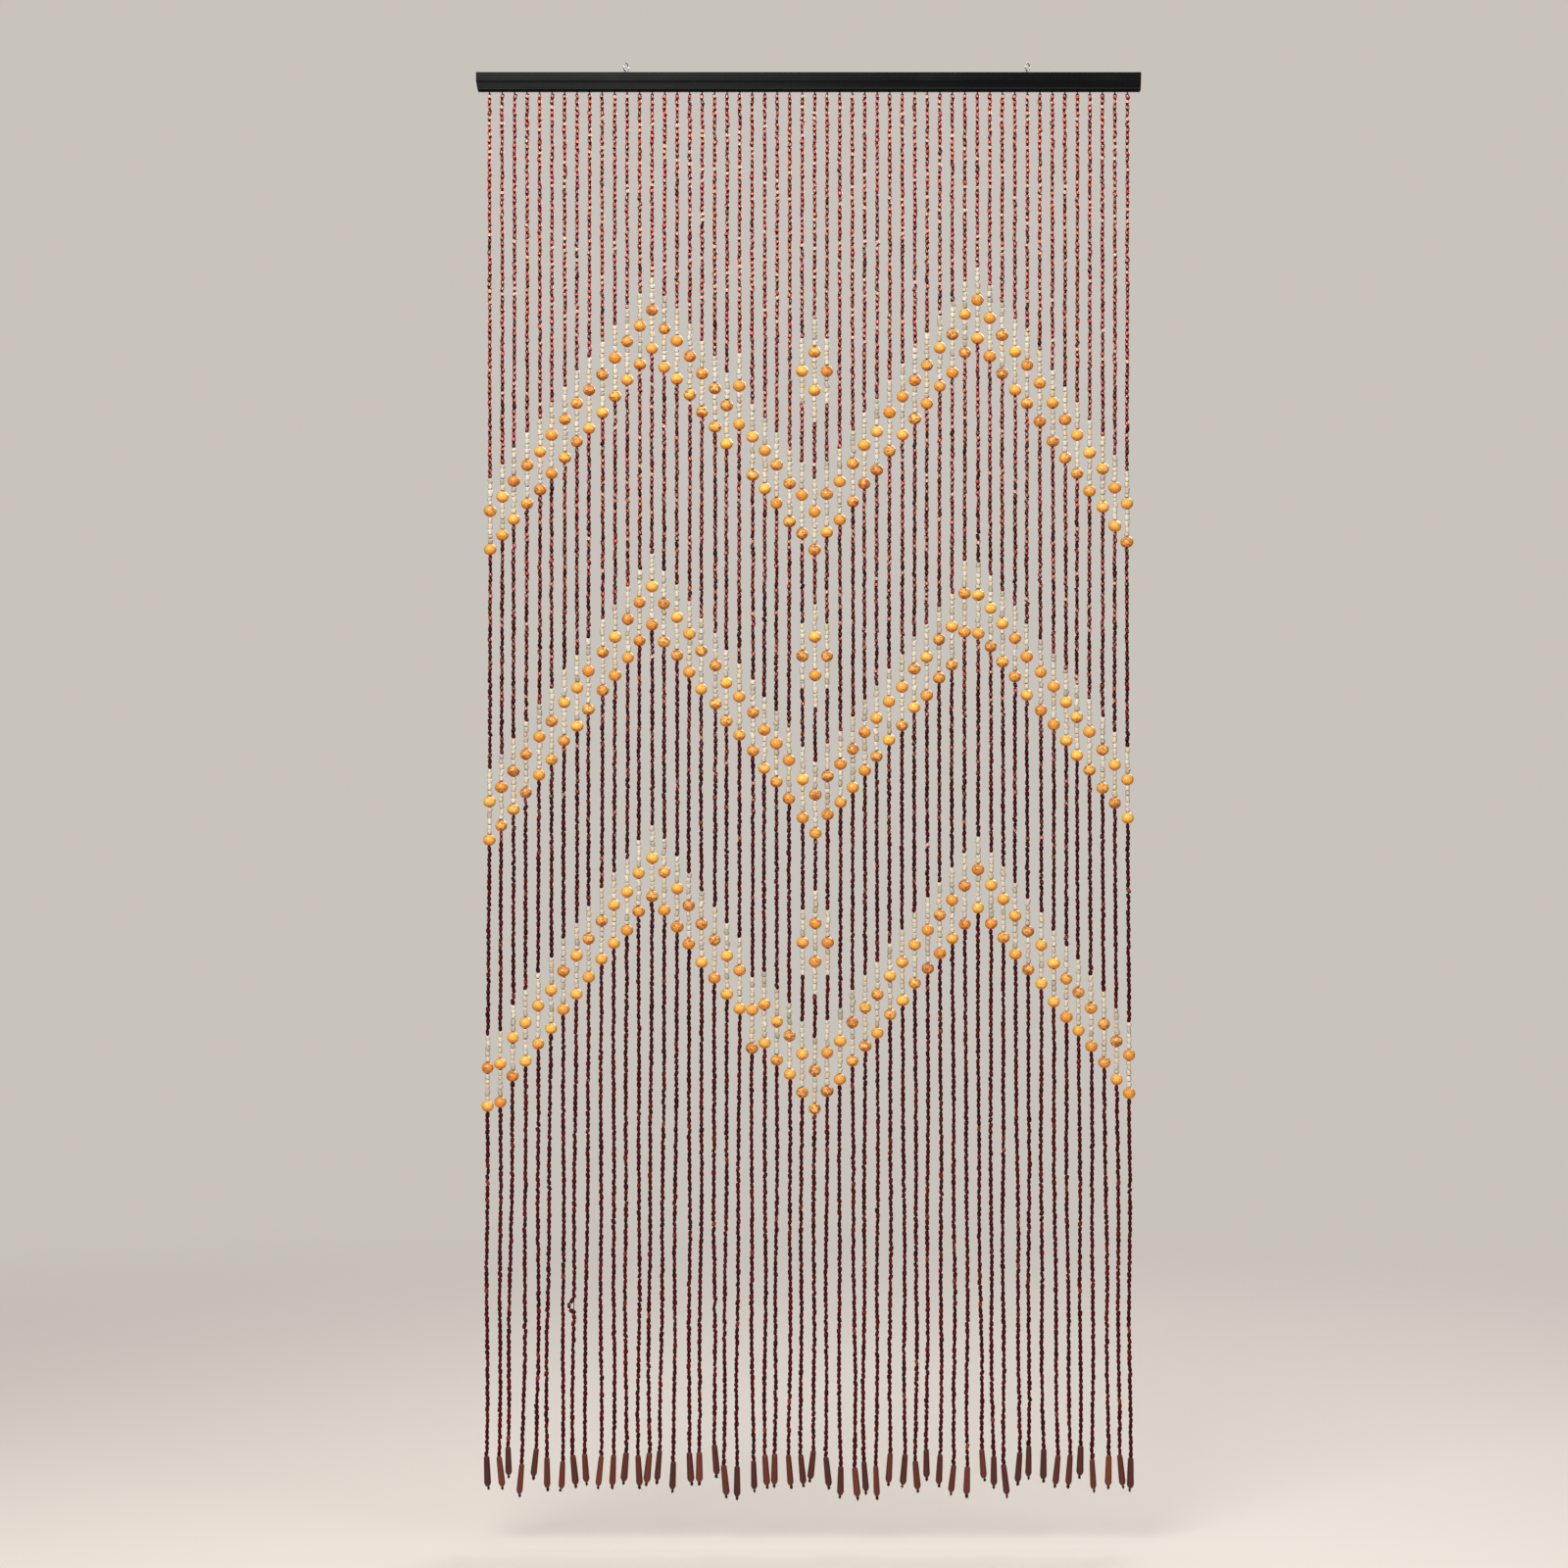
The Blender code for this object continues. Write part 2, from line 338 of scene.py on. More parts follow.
# %% The rail's paint
STEP_DROP = 0.0123
STEP_IN = 0.0007
CHIPS_START, CHIPS_FULL = 0.0022, 0.0004
# Heights above the bottom where the foot's slope is painted lighter grey: a painted highlight
# along the lip.
LIP_HIGHLIGHT_STARTS = (0.0014, 0.0022)
LIP_HIGHLIGHT_ENDS = (0.0042, 0.0036)
paint = Finish("satin_black_paint", {"Specular IOR Level": 0.06})
streaks = paint.noise(paint.object_place((6.0, 190.0, 190.0)), 4.0, detail=4.0)
cloud = paint.noise(paint.object_place(), 9.0, detail=2.0)
grain = paint.noise(paint.object_place((2.2, 60.0, 75.0)), 11.0, detail=5.0, distortion=0.4)
height = paint.node("SeparateXYZ", {}, {0: paint.object_place()}, out=2)
top_arris = paint.step(height, rail_high.z - CHIPS_START, rail_high.z - CHIPS_FULL)
chipped = top_arris * paint.step(paint.noise(paint.object_place(), 260.0), 0.60, 0.66)
black = paint.mix((0.0022, 0.0024, 0.0028), (0.0060, 0.0062, 0.0070), streaks)
dust_and_painted_light = paint.mix(black, (0.020, 0.019, 0.018), paint.step(cloud, 0.5, 0.85) * 0.30)
# Below the step the black is painted darker: painted shade under the step. The colour carries
# dust, this painted shade and the painted highlight on the lip.
step_height = rail_high.z - STEP_DROP
shade_below_step = paint.step(height, step_height, step_height - STEP_IN)
dust_and_painted_light = paint.mix(dust_and_painted_light, (0.0010, 0.0012, 0.0016), shade_below_step * 0.75)
above_foot = height - rail_low.z
# A lighter grey band on the foot's slope is a painted highlight: the line of light that the lip
# would catch.
lip_highlight = paint.step(above_foot, *LIP_HIGHLIGHT_STARTS) * paint.step(above_foot, *LIP_HIGHLIGHT_ENDS)
dust_and_painted_light = paint.mix(dust_and_painted_light, (0.016, 0.017, 0.018), lip_highlight * (0.3 + cloud * 0.4))
paint.paint("Base Color", paint.mix(dust_and_painted_light, (0.060, 0.038, 0.026), chipped * 0.7))
paint.paint("Roughness", 0.33 + streaks * 0.22 + chipped * 0.25)
paint.bump(grain * 0.6 + streaks * 0.4 - chipped, 0.35, 0.0004)
rail_paint = paint
paint.tell()

# %% The moulded slat
FOOT_HEIGHT = 0.0042
LIP_FALL = 0.0018
END_TAPER = {-1.0: 0.0024, 1.0: 0.0007}
EDGE = 0.0012
ARRIS = 0.00045
rail_size = rail_high - rail_low


def rail_outline():
    """The slat's outline from behind its top edge, over the front, to the foot: (y, z)."""
    front, back = rail_low.y, rail_high.y
    top, bottom = rail_high.z, rail_low.z
    fascia = front + EDGE / 3
    lower = fascia + STEP_IN
    foot = bottom + FOOT_HEIGHT
    return (
        (back, top),
        (fascia + EDGE, top),
        (fascia, top - EDGE),
        (fascia, top - STEP_DROP),
        (lower, top - STEP_DROP - STEP_IN),
        (lower, foot),
        (front, foot - LIP_FALL),
        (front, bottom + EDGE),
        (front + EDGE, bottom),
        (back, bottom),
    )


shape = bmesh.new()
outline = [shape.verts.new((rail_low.x, y, z)) for y, z in rail_outline()]
end = shape.faces.new(outline)
run = bmesh.ops.extrude_face_region(shape, geom=[end])["geom"]
far_end = [item for item in run if isinstance(item, bmesh.types.BMVert)]
bmesh.ops.translate(shape, vec=(rail_size.x, 0.0, 0.0), verts=far_end)
for vert in shape.verts:
    end = math.copysign(1.0, vert.co.x)
    share = max(0.0, rail_high.z - STEP_DROP - vert.co.z) / (rail_size.z - STEP_DROP)
    vert.co.x -= end * END_TAPER[end] * share
bmesh.ops.recalc_face_normals(shape, faces=shape.faces)
bmesh.ops.bevel(
    shape,
    geom=list(shape.edges),
    offset=ARRIS,
    offset_type="OFFSET",
    segments=3,
    profile=0.5,
    affect="EDGES",
    material=-1,
    clamp_overlap=True,
)
rail = make_piece("moulded_rail", shape, rail_paint)
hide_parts("rail")

# %% [markdown]
# The underside has a groove that takes the strips with the threads' knots, and the top has a
# hole for each screw eye. A joiner would plough and drill them after the moulding, and a
# Boolean difference does the same here.

# %% Plough the groove and drill the holes
STRANDS = 52
STRAND_PITCH = 0.01694
STRIP_HEIGHT = 0.0030
STRIP_DEPTH = 0.0050
FIT = 0.0003
EYE_PLACES = {"eye_left": -0.247, "eye_right": 0.297}
WIRE_RADIUS = 0.00095
SHANK = 0.0130
OVERRUN = 0.002
BORE_SIDES = 24


def cut_away(piece, tool_shape):
    """Take a closed shape out of a piece."""
    tool_mesh = bpy.data.meshes.new("tool")
    tool_shape.to_mesh(tool_mesh)
    tool_shape.free()
    tool = bpy.data.objects.new("tool", tool_mesh)
    bpy.context.scene.collection.objects.link(tool)
    cut = piece.modifiers.new("cut", "BOOLEAN")
    cut.solver = "EXACT"
    cut.operation = "DIFFERENCE"
    cut.object = tool
    settle(piece)
    bpy.data.objects.remove(tool)


def box_between(low, high):
    """A closed box from its low corner to its high one."""
    box = bmesh.new()
    bmesh.ops.create_cube(box, size=1.0)
    bmesh.ops.scale(box, vec=Vector(high) - Vector(low), verts=box.verts)
    bmesh.ops.translate(box, vec=(Vector(low) + Vector(high)) / 2, verts=box.verts)
    return box


half_run = STRANDS * STRAND_PITCH / 2 + FIT
half_wide = STRIP_DEPTH / 2 + FIT
groove_low = (-half_run, -half_wide, rail_low.z - OVERRUN)
groove_high = (half_run, half_wide, rail_low.z + STRIP_HEIGHT + FIT)
cut_away(rail, box_between(groove_low, groove_high))
for place in EYE_PLACES.values():
    drill = bmesh.new()
    wide = WIRE_RADIUS + FIT
    deep = SHANK + FIT + OVERRUN
    bmesh.ops.create_cone(
        drill, cap_ends=True, segments=BORE_SIDES, radius1=wide, radius2=wide, depth=deep
    )
    middle = Vector((place, 0.0, rail_high.z + OVERRUN - deep / 2))
    bmesh.ops.translate(drill, vec=middle, verts=drill.verts)
    cut_away(rail, drill)
print("rail after the groove and holes:", len(rail.data.polygons), "faces")

# %% [markdown]
# ## The screw eyes
#
# A screw eye is one length of plated wire, bent round a mandrel into a ring and down into a
# threaded shank. A curve with a round bevel follows that bend exactly, and is then turned
# into a mesh. The plating is bright, with faint drawing marks along the wire.

# %% Bright plated wire
paint = Finish("bright_plated_wire", {"Metallic": 1.0})
marks = paint.noise(paint.object_place((900.0, 900.0, 260.0)), 1.0, detail=4.0)
tarnish = paint.step(paint.noise(paint.object_place(), 170.0), 0.52, 0.75)
paint.paint("Base Color", paint.mix((0.66, 0.66, 0.67), (0.30, 0.28, 0.26), tarnish * 0.7))
paint.paint("Roughness", 0.08 + marks * 0.12 + tarnish * 0.18)
paint.bump(marks, 0.15, 0.0001)
bright_wire = paint
paint.tell()

# %% Bend each eye
RING_RADIUS = 0.0062
NECK = 0.0012
EYE_TURN = math.radians(62.0)
RING_START = math.radians(248.0)
RING_END = math.radians(-34.0)
RING_STEPS = 44
NECK_BEND = (
    # across, up from the neck
    (0.0033, 0.0022),
    (0.0018, 0.0007),
    (0.0003, -0.0008),
    (0.0000, -0.0025),
)


def eye_route():
    """The wire's centre line in the eye's own plane: round the ring, then down the shank."""
    centre = NECK + RING_RADIUS
    route = []
    for step in range(RING_STEPS + 1):
        angle = RING_START + (RING_END - RING_START) * step / RING_STEPS
        route.append((RING_RADIUS * math.cos(angle), centre + RING_RADIUS * math.sin(angle)))
    route += [(across, NECK + up) for across, up in NECK_BEND]
    return route + [(0.0, -SHANK)]


def bend_eye(name, place):
    """Bend the wire along its route, and stand the eye in the rail at its place."""
    curve = bpy.data.curves.new(name, "CURVE")
    curve.dimensions = "3D"
    curve.bevel_depth = WIRE_RADIUS
    curve.bevel_resolution = 4
    curve.use_fill_caps = True
    route = eye_route()
    spline = curve.splines.new("POLY")
    spline.points.add(len(route) - 1)
    for point, (across, up) in zip(spline.points, route):
        point.co = (across, 0.0, up, 1.0)
    wire = bpy.data.objects.new(name + "_wire", curve)
    bpy.context.scene.collection.objects.link(wire)
    mesh = settled_mesh(wire)
    bpy.data.objects.remove(wire)
    stand = Matrix.Translation((place, 0.0, rail_high.z))
    mesh.transform(stand @ Matrix.Rotation(EYE_TURN, 4, "Z"))
    mesh.shade_smooth()
    eye = dress("bent_" + name, mesh, bright_wire)
    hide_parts(name)


for name, place in EYE_PLACES.items():
    bend_eye(name, place)

# %% [markdown]
# ## How a strand hangs
#
# The threads are knotted 16.94 mm apart. Nothing on them is quite even: the lengths differ by
# up to three centimetres, the drops at the ends lean, and the lower half wanders from the plumb
# line. One formula gives every strand its own steady unevenness from its number alone, so
# the beads, balls and drops of a strand all agree on where it is. One strand also has a kink,
# as a stiff waxed thread gets where it was once folded.

# %% Where a strand is at a drop below the rail
STRAND_LENGTH = 1.848
ROOT_STUB = 0.0035
TIP_SCATTER = 0.0160
TIP_PLAIN_SHARE, TIP_BUNCHED_SHARE = 0.45, 0.55
TIP_LEAN = math.radians(6.5)
FAN_OUT = 0.0070
SWAY = 0.0032
SWAY_LENGTH = 1.30
TWIST = 0.0010
TWIST_LENGTH = 0.31
TWIST_FROM = 1.10
DEPTH_SWAY = 0.0020
KINKED_STRAND = 7
KINK_DROP = 1.645
KINK_ASIDE = -0.0064
KINK_REACH = 0.0125
BALL_SEED = 1
TIP_SEED = 5
SWAY_SEED = 58
TWIST_SEED = 7
LEAN_SEED = 8
DEPTH_SEED = 9


def scatter(strand, purpose):
    """A value between -1 and 1 that is always the same for a strand and a purpose."""
    return (math.sin(strand * 12.9898 + purpose * 78.233) * 43758.5453) % 2.0 - 1.0


def tip_drop(strand):
    """Where a strand's wooden drop starts. The cube bunches most lengths near the mean."""
    uneven = scatter(strand, TIP_SEED)
    bunched = TIP_PLAIN_SHARE * uneven + TIP_BUNCHED_SHARE * uneven ** 3
    return STRAND_LENGTH + TIP_SCATTER * bunched


def strand_place(strand, drop):
    """The centre of a strand at a drop below the rail's underside."""
    side = (strand - (STRANDS - 1) / 2) / (STRANDS / 2)
    length = tip_drop(strand)
    hung = min(drop, length)
    share = hung / length
    phase = math.pi * scatter(strand, SWAY_SEED)
    wave = math.sin(math.tau * hung / SWAY_LENGTH + phase) - math.sin(phase)
    phase = math.pi * scatter(strand, TWIST_SEED)
    twist = math.sin(math.tau * hung / TWIST_LENGTH + phase)
    twist *= max(0.0, hung - TWIST_FROM) / (length - TWIST_FROM)
    x = side * STRANDS / 2 * STRAND_PITCH
    x += FAN_OUT * side * share ** 3 + SWAY * share * wave / 2 + TWIST * twist
    x += (drop - hung) * math.tan(TIP_LEAN * scatter(strand, LEAN_SEED))
    if strand == KINKED_STRAND:
        near = min(1.0, abs(drop - KINK_DROP) / KINK_REACH)
        x += KINK_ASIDE * (0.5 + 0.5 * math.cos(math.pi * near))
    y = DEPTH_SWAY * share * math.sin(math.pi * (share + scatter(strand, DEPTH_SEED)))
    return Vector((x, y, rail_low.z - drop))


print("first strand ends at", [round(v, 4) for v in strand_place(0, tip_drop(0))])

# %% [markdown]
# ## The pattern
#
# The stringer counts beads. Each band is a zigzag with two golden balls on every strand, and
# each ball hangs under a run of white beads 36 mm long. Above the middle valley of each band
# four more balls make a small diamond. The drops of the turning points are enough to know
# where every ball is, and a few strands that were strung unevenly are listed.

# %% Where the balls and the white runs are
TURNS = (0, 13, 26, 39, 52)
BANDS = (
    # left end, first peak, middle valley, second peak, right end, diamond's top
    (0.571, 0.298, 0.570, 0.282, 0.580, 0.353),
    (0.965, 0.670, 0.951, 0.681, 0.952, 0.739),
    (1.325, 1.038, 1.326, 1.053, 1.328, 1.127),
)
HUNG_UNEVENLY = (
    # strand, band, how much higher its two balls hang
    (20, 0, 0.048),
    (38, 1, 0.020),
    (21, 2, -0.027),
    (1, 2, -0.016),
)
BALL_PAIR = 0.052
BALL_SCATTER = 0.0030
BALL_HALF_HEIGHT = 0.0080
DIAMOND_STRAND = 26
WHITE_RUN = 0.0360
DARK_PITCH = 0.0076
WHITE_PITCH = 0.0066


def zigzag_drop(strand, band):
    """Drop of a band's upper ball, read along the straight legs between the turns."""
    leg = min(sum(strand > turn for turn in TURNS[1:]), len(TURNS) - 2)
    share = (strand - TURNS[leg]) / (TURNS[leg + 1] - TURNS[leg])
    return BANDS[band][leg] * (1.0 - share) + BANDS[band][leg + 1] * share


def strand_balls(strand):
    """Every golden ball from the top down: its drop, and whether white beads follow it."""
    lifts = {(row[0], row[1]): row[2] for row in HUNG_UNEVENLY}
    balls = []
    for band, row in enumerate(BANDS):
        upper = zigzag_drop(strand, band) - lifts.get((strand, band), 0.0)
        upper += BALL_SCATTER * scatter(strand, BALL_SEED + band)
        balls += [(upper, False), (upper + BALL_PAIR, False)]
        aside = abs(strand - DIAMOND_STRAND)
        if aside == 0:
            balls += [(row[-1], False), (row[-1] + BALL_PAIR, True)]
        elif aside == 1:
            balls.append((row[-1] + BALL_PAIR / 2, True))
    return sorted(balls)


def string_strand(strand):
    """What the stringer threads on: the dark runs, the white runs and the balls."""
    dark, white, balls = [], [], []
    reached = ROOT_STUB
    for drop, white_follows in strand_balls(strand):
        run = drop - BALL_HALF_HEIGHT - WHITE_RUN
        if run - reached > DARK_PITCH / 2:
            dark.append((reached, run))
        else:
            run = reached
        white.append((run, drop - BALL_HALF_HEIGHT))
        balls.append(drop)
        reached = drop + BALL_HALF_HEIGHT
        if white_follows:
            white.append((reached, reached + WHITE_RUN))
            reached += WHITE_RUN
    dark.append((reached, tip_drop(strand)))
    return dark, white, balls


strung = [string_strand(strand) for strand in range(STRANDS)]
print("balls:", sum(len(balls) for _, _, balls in strung))

# %% [markdown]
# ## One bead, turned
#
# Beads are turned or ground round, so each model starts as a ball whose rings are moved to the
# bead's own profile. The two poles are pushed in, which makes the small countersunk mouth
# of the hole: it is what draws the dark line between one bead and the next. A bead that is
# repeated thousands of times gets only a few dozen faces, and smooth shading does the rest.

# %% A ball reshaped ring by ring
BEAD_MAP = "OFBake"
AT_POLE = 0.0001


def turn_bead(name, sides, profile):
    """A bead along Z. The profile's rows are (height, radius), from the top to the bottom."""
    bead = bmesh.new()
    bead.loops.layers.uv.new(BEAD_MAP)
    rings = len(profile) - 1
    bmesh.ops.create_uvsphere(
        bead, u_segments=sides, v_segments=rings, radius=1.0, calc_uvs=True
    )
    for vert in bead.verts:
        polar = math.acos(max(-1.0, min(1.0, vert.co.z)))
        height, radius = profile[round(polar / math.pi * rings)]
        outward = Vector((vert.co.x, vert.co.y, 0.0))
        if outward.length > AT_POLE:
            outward.normalize()
        vert.co = outward * radius + Vector((0.0, 0.0, height))
    bmesh.ops.recalc_face_normals(bead, faces=bead.faces)
    mesh = bpy.data.meshes.new(name)
    bead.to_mesh(mesh)
    bead.free()
    return mesh


def mirrored(rows, belly=()):
    """A profile that is the same above and below its middle, with the belly's row between."""
    return (*rows, *belly, *((-height, radius) for height, radius in reversed(rows)))


# %% The five shapes
DARK_BEAD = mirrored(((0.0028, 0.0), (0.0038, 0.0019), (0.0015, 0.0028)))
WHITE_BEAD = mirrored(((0.0024, 0.0), (0.00335, 0.0025), (0.0020, 0.0032)))
BALL_RADIUS = 0.0086
BALL_MOUTH = (0.0062, 0.0)
BALL_TURNS = [math.radians(turn) for turn in (15.0, 40.0, 65.0)]
BALL_RINGS = [
    (BALL_HALF_HEIGHT * math.cos(turn), BALL_RADIUS * math.sin(turn)) for turn in BALL_TURNS
]
GOLDEN_BALL = mirrored([BALL_MOUTH, *BALL_RINGS], belly=[(0.0, BALL_RADIUS)])
WOODEN_DROP = (
    # height, radius
    (-0.0022, 0.0),
    (-0.0002, 0.0012),
    (0.0000, 0.0024),
    (-0.0003, 0.0029),
    (-0.0020, 0.0038),
    (-0.0030, 0.0040),
    (-0.0190, 0.0045),
    (-0.0362, 0.0049),
    (-0.0374, 0.0048),
    (-0.0408, 0.0031),
    (-0.0414, 0.0027),
    (-0.0415, 0.0014),
    (-0.0398, 0.0),
)
END_BEAD = (
    # height, radius
    (0.0012, 0.0),
    (0.0022, 0.0013),
    (0.0008, 0.0021),
    (-0.0010, 0.0019),
    (-0.0023, 0.0010),
    (-0.0014, 0.0),
)
shapes = {
    "dark": turn_bead("one_dark_bead", 8, DARK_BEAD),
    "white": turn_bead("one_white_bead", 7, WHITE_BEAD),
    "ball": turn_bead("one_golden_ball", 12, GOLDEN_BALL),
    "drop": turn_bead("one_wooden_drop", 12, WOODEN_DROP),
    "end": turn_bead("one_end_bead", 8, END_BEAD),
}
for name, mesh in shapes.items():
    print(name, "shape:", triangles(mesh), "triangles")

# %% [markdown]
# ## Threading thousands of beads
#
# Twelve thousand objects would drown the scene, so the beads of one kind are joined into one
# mesh, and the dark ones into one for each section of the curtain: the bead's points are
# repeated as an array, and each copy is turned, stretched and moved to its place.
#
# Colour is handled as a maker handles a tray of mixed beads. The piece's own map is a tray
# of square cells, one for each sort of bead, and each bead takes its map from one cell. The
# finish reads that map, so a cell decides a bead's shade, and the place inside the cell says
# where on the bead a point lies: around the hole and along it.

# %% Join many copies of one bead
CELL_INSET = 0.09


def copy_beads(name, one, places, cells, finish):
    """Join copies of a bead. A place is a 4 x 4 matrix, and its cell a column and a row."""
    frames = np.array([place for place, _ in places], dtype=np.float64)
    tray = np.array([cell for _, cell in places], dtype=np.float64)
    count, points, loops = len(places), len(one.vertices), len(one.loops)
    rest = np.empty(points * 3)
    one.vertices.foreach_get("co", rest)
    rest = rest.reshape(points, 3)
    around = np.empty(loops * 2)
    one.uv_layers[BEAD_MAP].data.foreach_get("uv", around)
    around = around.reshape(loops, 2) * (1.0 - 2.0 * CELL_INSET) + CELL_INSET
    corners = np.empty(loops, dtype=np.int32)
    one.loops.foreach_get("vertex_index", corners)
    starts = np.empty(len(one.polygons), dtype=np.int32)
    one.polygons.foreach_get("loop_start", starts)
    placed = np.einsum("nij,pj->npi", frames[:, :3, :3], rest) + frames[:, None, :3, 3]
    shift = np.arange(count, dtype=np.int32)[:, None]
    mesh = bpy.data.meshes.new(name)
    mesh.vertices.add(count * points)
    mesh.loops.add(count * loops)
    mesh.polygons.add(count * len(starts))
    mesh.vertices.foreach_set("co", placed.ravel())
    mesh.loops.foreach_set("vertex_index", (corners + shift * points).ravel())
    mesh.polygons.foreach_set("loop_start", (starts + shift * loops).ravel())
    layer = mesh.uv_layers.new(name=BEAD_MAP)
    layer.data.foreach_set("uv", ((tray[:, None, :] + around) / cells).ravel())
    mesh.update(calc_edges=True)
    mesh.validate()
    mesh.shade_smooth()
    return dress(name, mesh, finish)


# %% Put a bead on its strand
SLOPE_REACH = 0.002
generator = np.random.default_rng(20)


def on_strand(strand, drop, stretch, tilt, aside=0.0):
    """A bead's place: along the strand, turned at random about it, and a little askew."""
    here = strand_place(strand, drop)
    below, above = drop + SLOPE_REACH, drop - SLOPE_REACH
    down = strand_place(strand, below) - strand_place(strand, above)
    along = (-down).to_track_quat("Z", "Y").to_matrix().to_4x4()
    lean_x, lean_y = generator.normal(0.0, tilt, 2)
    off_x, off_y = generator.normal(0.0, aside, 2) if aside else (0.0, 0.0)
    spin = Matrix.Rotation(generator.uniform(0.0, math.tau), 4, "Z")
    lean = Matrix.Rotation(lean_x, 4, "X") @ Matrix.Rotation(lean_y, 4, "Y")
    size = Matrix.Diagonal((*stretch, 1.0))
    return Matrix.Translation(here + Vector((off_x, off_y, 0.0))) @ along @ lean @ spin @ size


def fill_run(top, bottom, pitch, uneven):
    """The beads that fill a run from top to bottom: the drop and the length share of each."""
    count = max(1, round((bottom - top) / pitch))
    lengths = 1.0 + uneven * generator.uniform(-1.0, 1.0, count)
    lengths *= (bottom - top) / lengths.sum()
    middles = top + np.cumsum(lengths) - lengths / 2
    return [(float(drop), float(length) / pitch) for drop, length in zip(middles, lengths)]


# %% [markdown]
# ## The finish of the small dark beads
#
# Small wooden beads are tumbled in stain and lacquer by the kilo, so a handful holds wine red,
# brick, rust and near black, and thin lacquer over the stain gives the wet shine. Both ends
# of every bead, where it meets the next, are painted dark as shade between the beads. On the
# brighter beads the belly is painted lighter, with pale flecks: a painted highlight and painted
# glints. The upper third of this curtain was strung from a brighter batch, and the rows of the
# tray follow that from top to bottom.

# %% Reading a tray of beads
def read_tray(finish, cells, flatness=0.0):
    """What a bead's finish needs: its cell, its row, how far along it is, a place for grain.

    Grain runs along the hole. With a flatness it lies across a round bead instead.
    """
    place = finish.node("UVMap", {"uv_map": BEAD_MAP})
    scaled = [
        finish.node("SeparateXYZ", {}, {0: place}, out=axis) * float(cells) for axis in (0, 1)
    ]
    column, row = [axis.math("FLOOR") for axis in scaled]
    inside = [
        (axis.math("FRACT") - CELL_INSET) * (1.0 / (1.0 - 2.0 * CELL_INSET)) for axis in scaled
    ]
    angle = inside[0] * math.tau
    along = inside[1]
    east, north, up = angle.math("COSINE"), angle.math("SINE"), along
    if flatness:
        polar = along * math.pi
        swell = polar.math("SINE")
        east, north, up = east * swell, north * swell, polar.math("COSINE") * flatness
    ring = finish.node("CombineXYZ", {}, {0: east + column * 7.0, 1: north + row * 7.0, 2: up})
    cell = finish.node("CombineXYZ", {}, {0: column, 1: row})
    return cell, row * (1.0 / (cells - 1)), along, ring


def chance(finish, cell, salt):
    """A value from 0 to 1 that differs from cell to cell."""
    moved = finish.node("VectorMath", {"operation": "ADD"}, {0: cell, 1: (salt, salt * 2.0, 0.0)})
    return finish.node("TexWhiteNoise", {"noise_dimensions": "2D"}, {"Vector": moved})


# %% Stained and lacquered dark beads
DARK_CELLS = 16
LACQUER = {"Specular IOR Level": 0.05, "Coat Roughness": 0.22, "Coat IOR": 1.7}
paint = Finish("stained_dark_beads", LACQUER)
cell, high, along, ring = read_tray(paint, DARK_CELLS)
luck = chance(paint, cell, 3.0)
low_shades = paint.node(
    "ValToRGB",
    {"stops": [
        (0.00, (0.036, 0.002, 0.003)),
        (0.40, (0.063, 0.002, 0.004)),
        (0.80, (0.092, 0.003, 0.005)),
        (0.96, (0.130, 0.005, 0.006)),
        (1.00, (0.235, 0.034, 0.018)),
    ]},
    {"Fac": luck},
)
high_shades = paint.node(
    "ValToRGB",
    {"stops": [
        (0.00, (0.070, 0.001, 0.003)),
        (0.20, (0.215, 0.002, 0.006)),
        (0.55, (0.430, 0.006, 0.012)),
        (0.80, (0.640, 0.052, 0.018)),
        (0.91, (0.720, 0.150, 0.095)),
        (1.00, (0.870, 0.530, 0.390)),
    ]},
    {"Fac": luck},
)
bright_batch = paint.step(high, 0.46, 0.97)
stain_and_painted_light = paint.mix(low_shades, high_shades, bright_batch)
from_belly = (along - 0.5).math("ABSOLUTE")
mouth = paint.step(from_belly, 0.08, 0.20)
belly = paint.step(from_belly, 0.15, 0.03)
streak = paint.noise(ring, 1.7, detail=3.0)
# The belly of a bead from the brighter batch is painted lighter pink: a painted highlight.
stain_and_painted_light = paint.mix(stain_and_painted_light, (0.700, 0.170, 0.120), belly * bright_batch * 0.28)
# Pale pink flecks on the brighter beads are painted glints.
painted_glints = paint.step(paint.noise(ring, 2.6, detail=1.0), 0.58, 0.65)
stain_and_painted_light = paint.mix(stain_and_painted_light, (0.870, 0.500, 0.370), painted_glints * bright_batch * 0.88)
# The ends of each bead, where it meets the next, are painted dark: painted shade between the
# beads, strongest on the upper rows.
mouth_shade = paint.mix((0.010, 0.001, 0.001), (0.052, 0.001, 0.003), bright_batch)
stain_and_painted_light = paint.mix(stain_and_painted_light, mouth_shade, mouth * (0.28 + paint.step(high, 0.15, 0.50) * 0.70))
stain_and_painted_light = paint.mix(stain_and_painted_light, (0.034, 0.002, 0.003), paint.step(streak, 0.50, 0.68) * 0.55)
paint.paint("Base Color", stain_and_painted_light)
paint.paint("Roughness", 0.30 + streak * 0.22 + mouth * 0.15)
paint.paint("Coat Weight", (0.06 + bright_batch * 0.60) * (1.0 - mouth * 0.9))
paint.bump(streak, 0.25, 0.0003)
dark_stain = paint
paint.tell()

# %% Thread the dark beads
SECTIONS = 4
TILT = math.radians(9.5)
WIDTH_SCATTER = 0.09
DARK_CLIP = (-2.0, 2.0)
SLIMMER_HIGH = 0.08
DARK_UNEVEN = 0.12
BATCH_BLUR = 1.6
DARK_OFF_LINE = 0.00028
HALF_PITCHES = (-DARK_PITCH / 2, DARK_PITCH / 2)


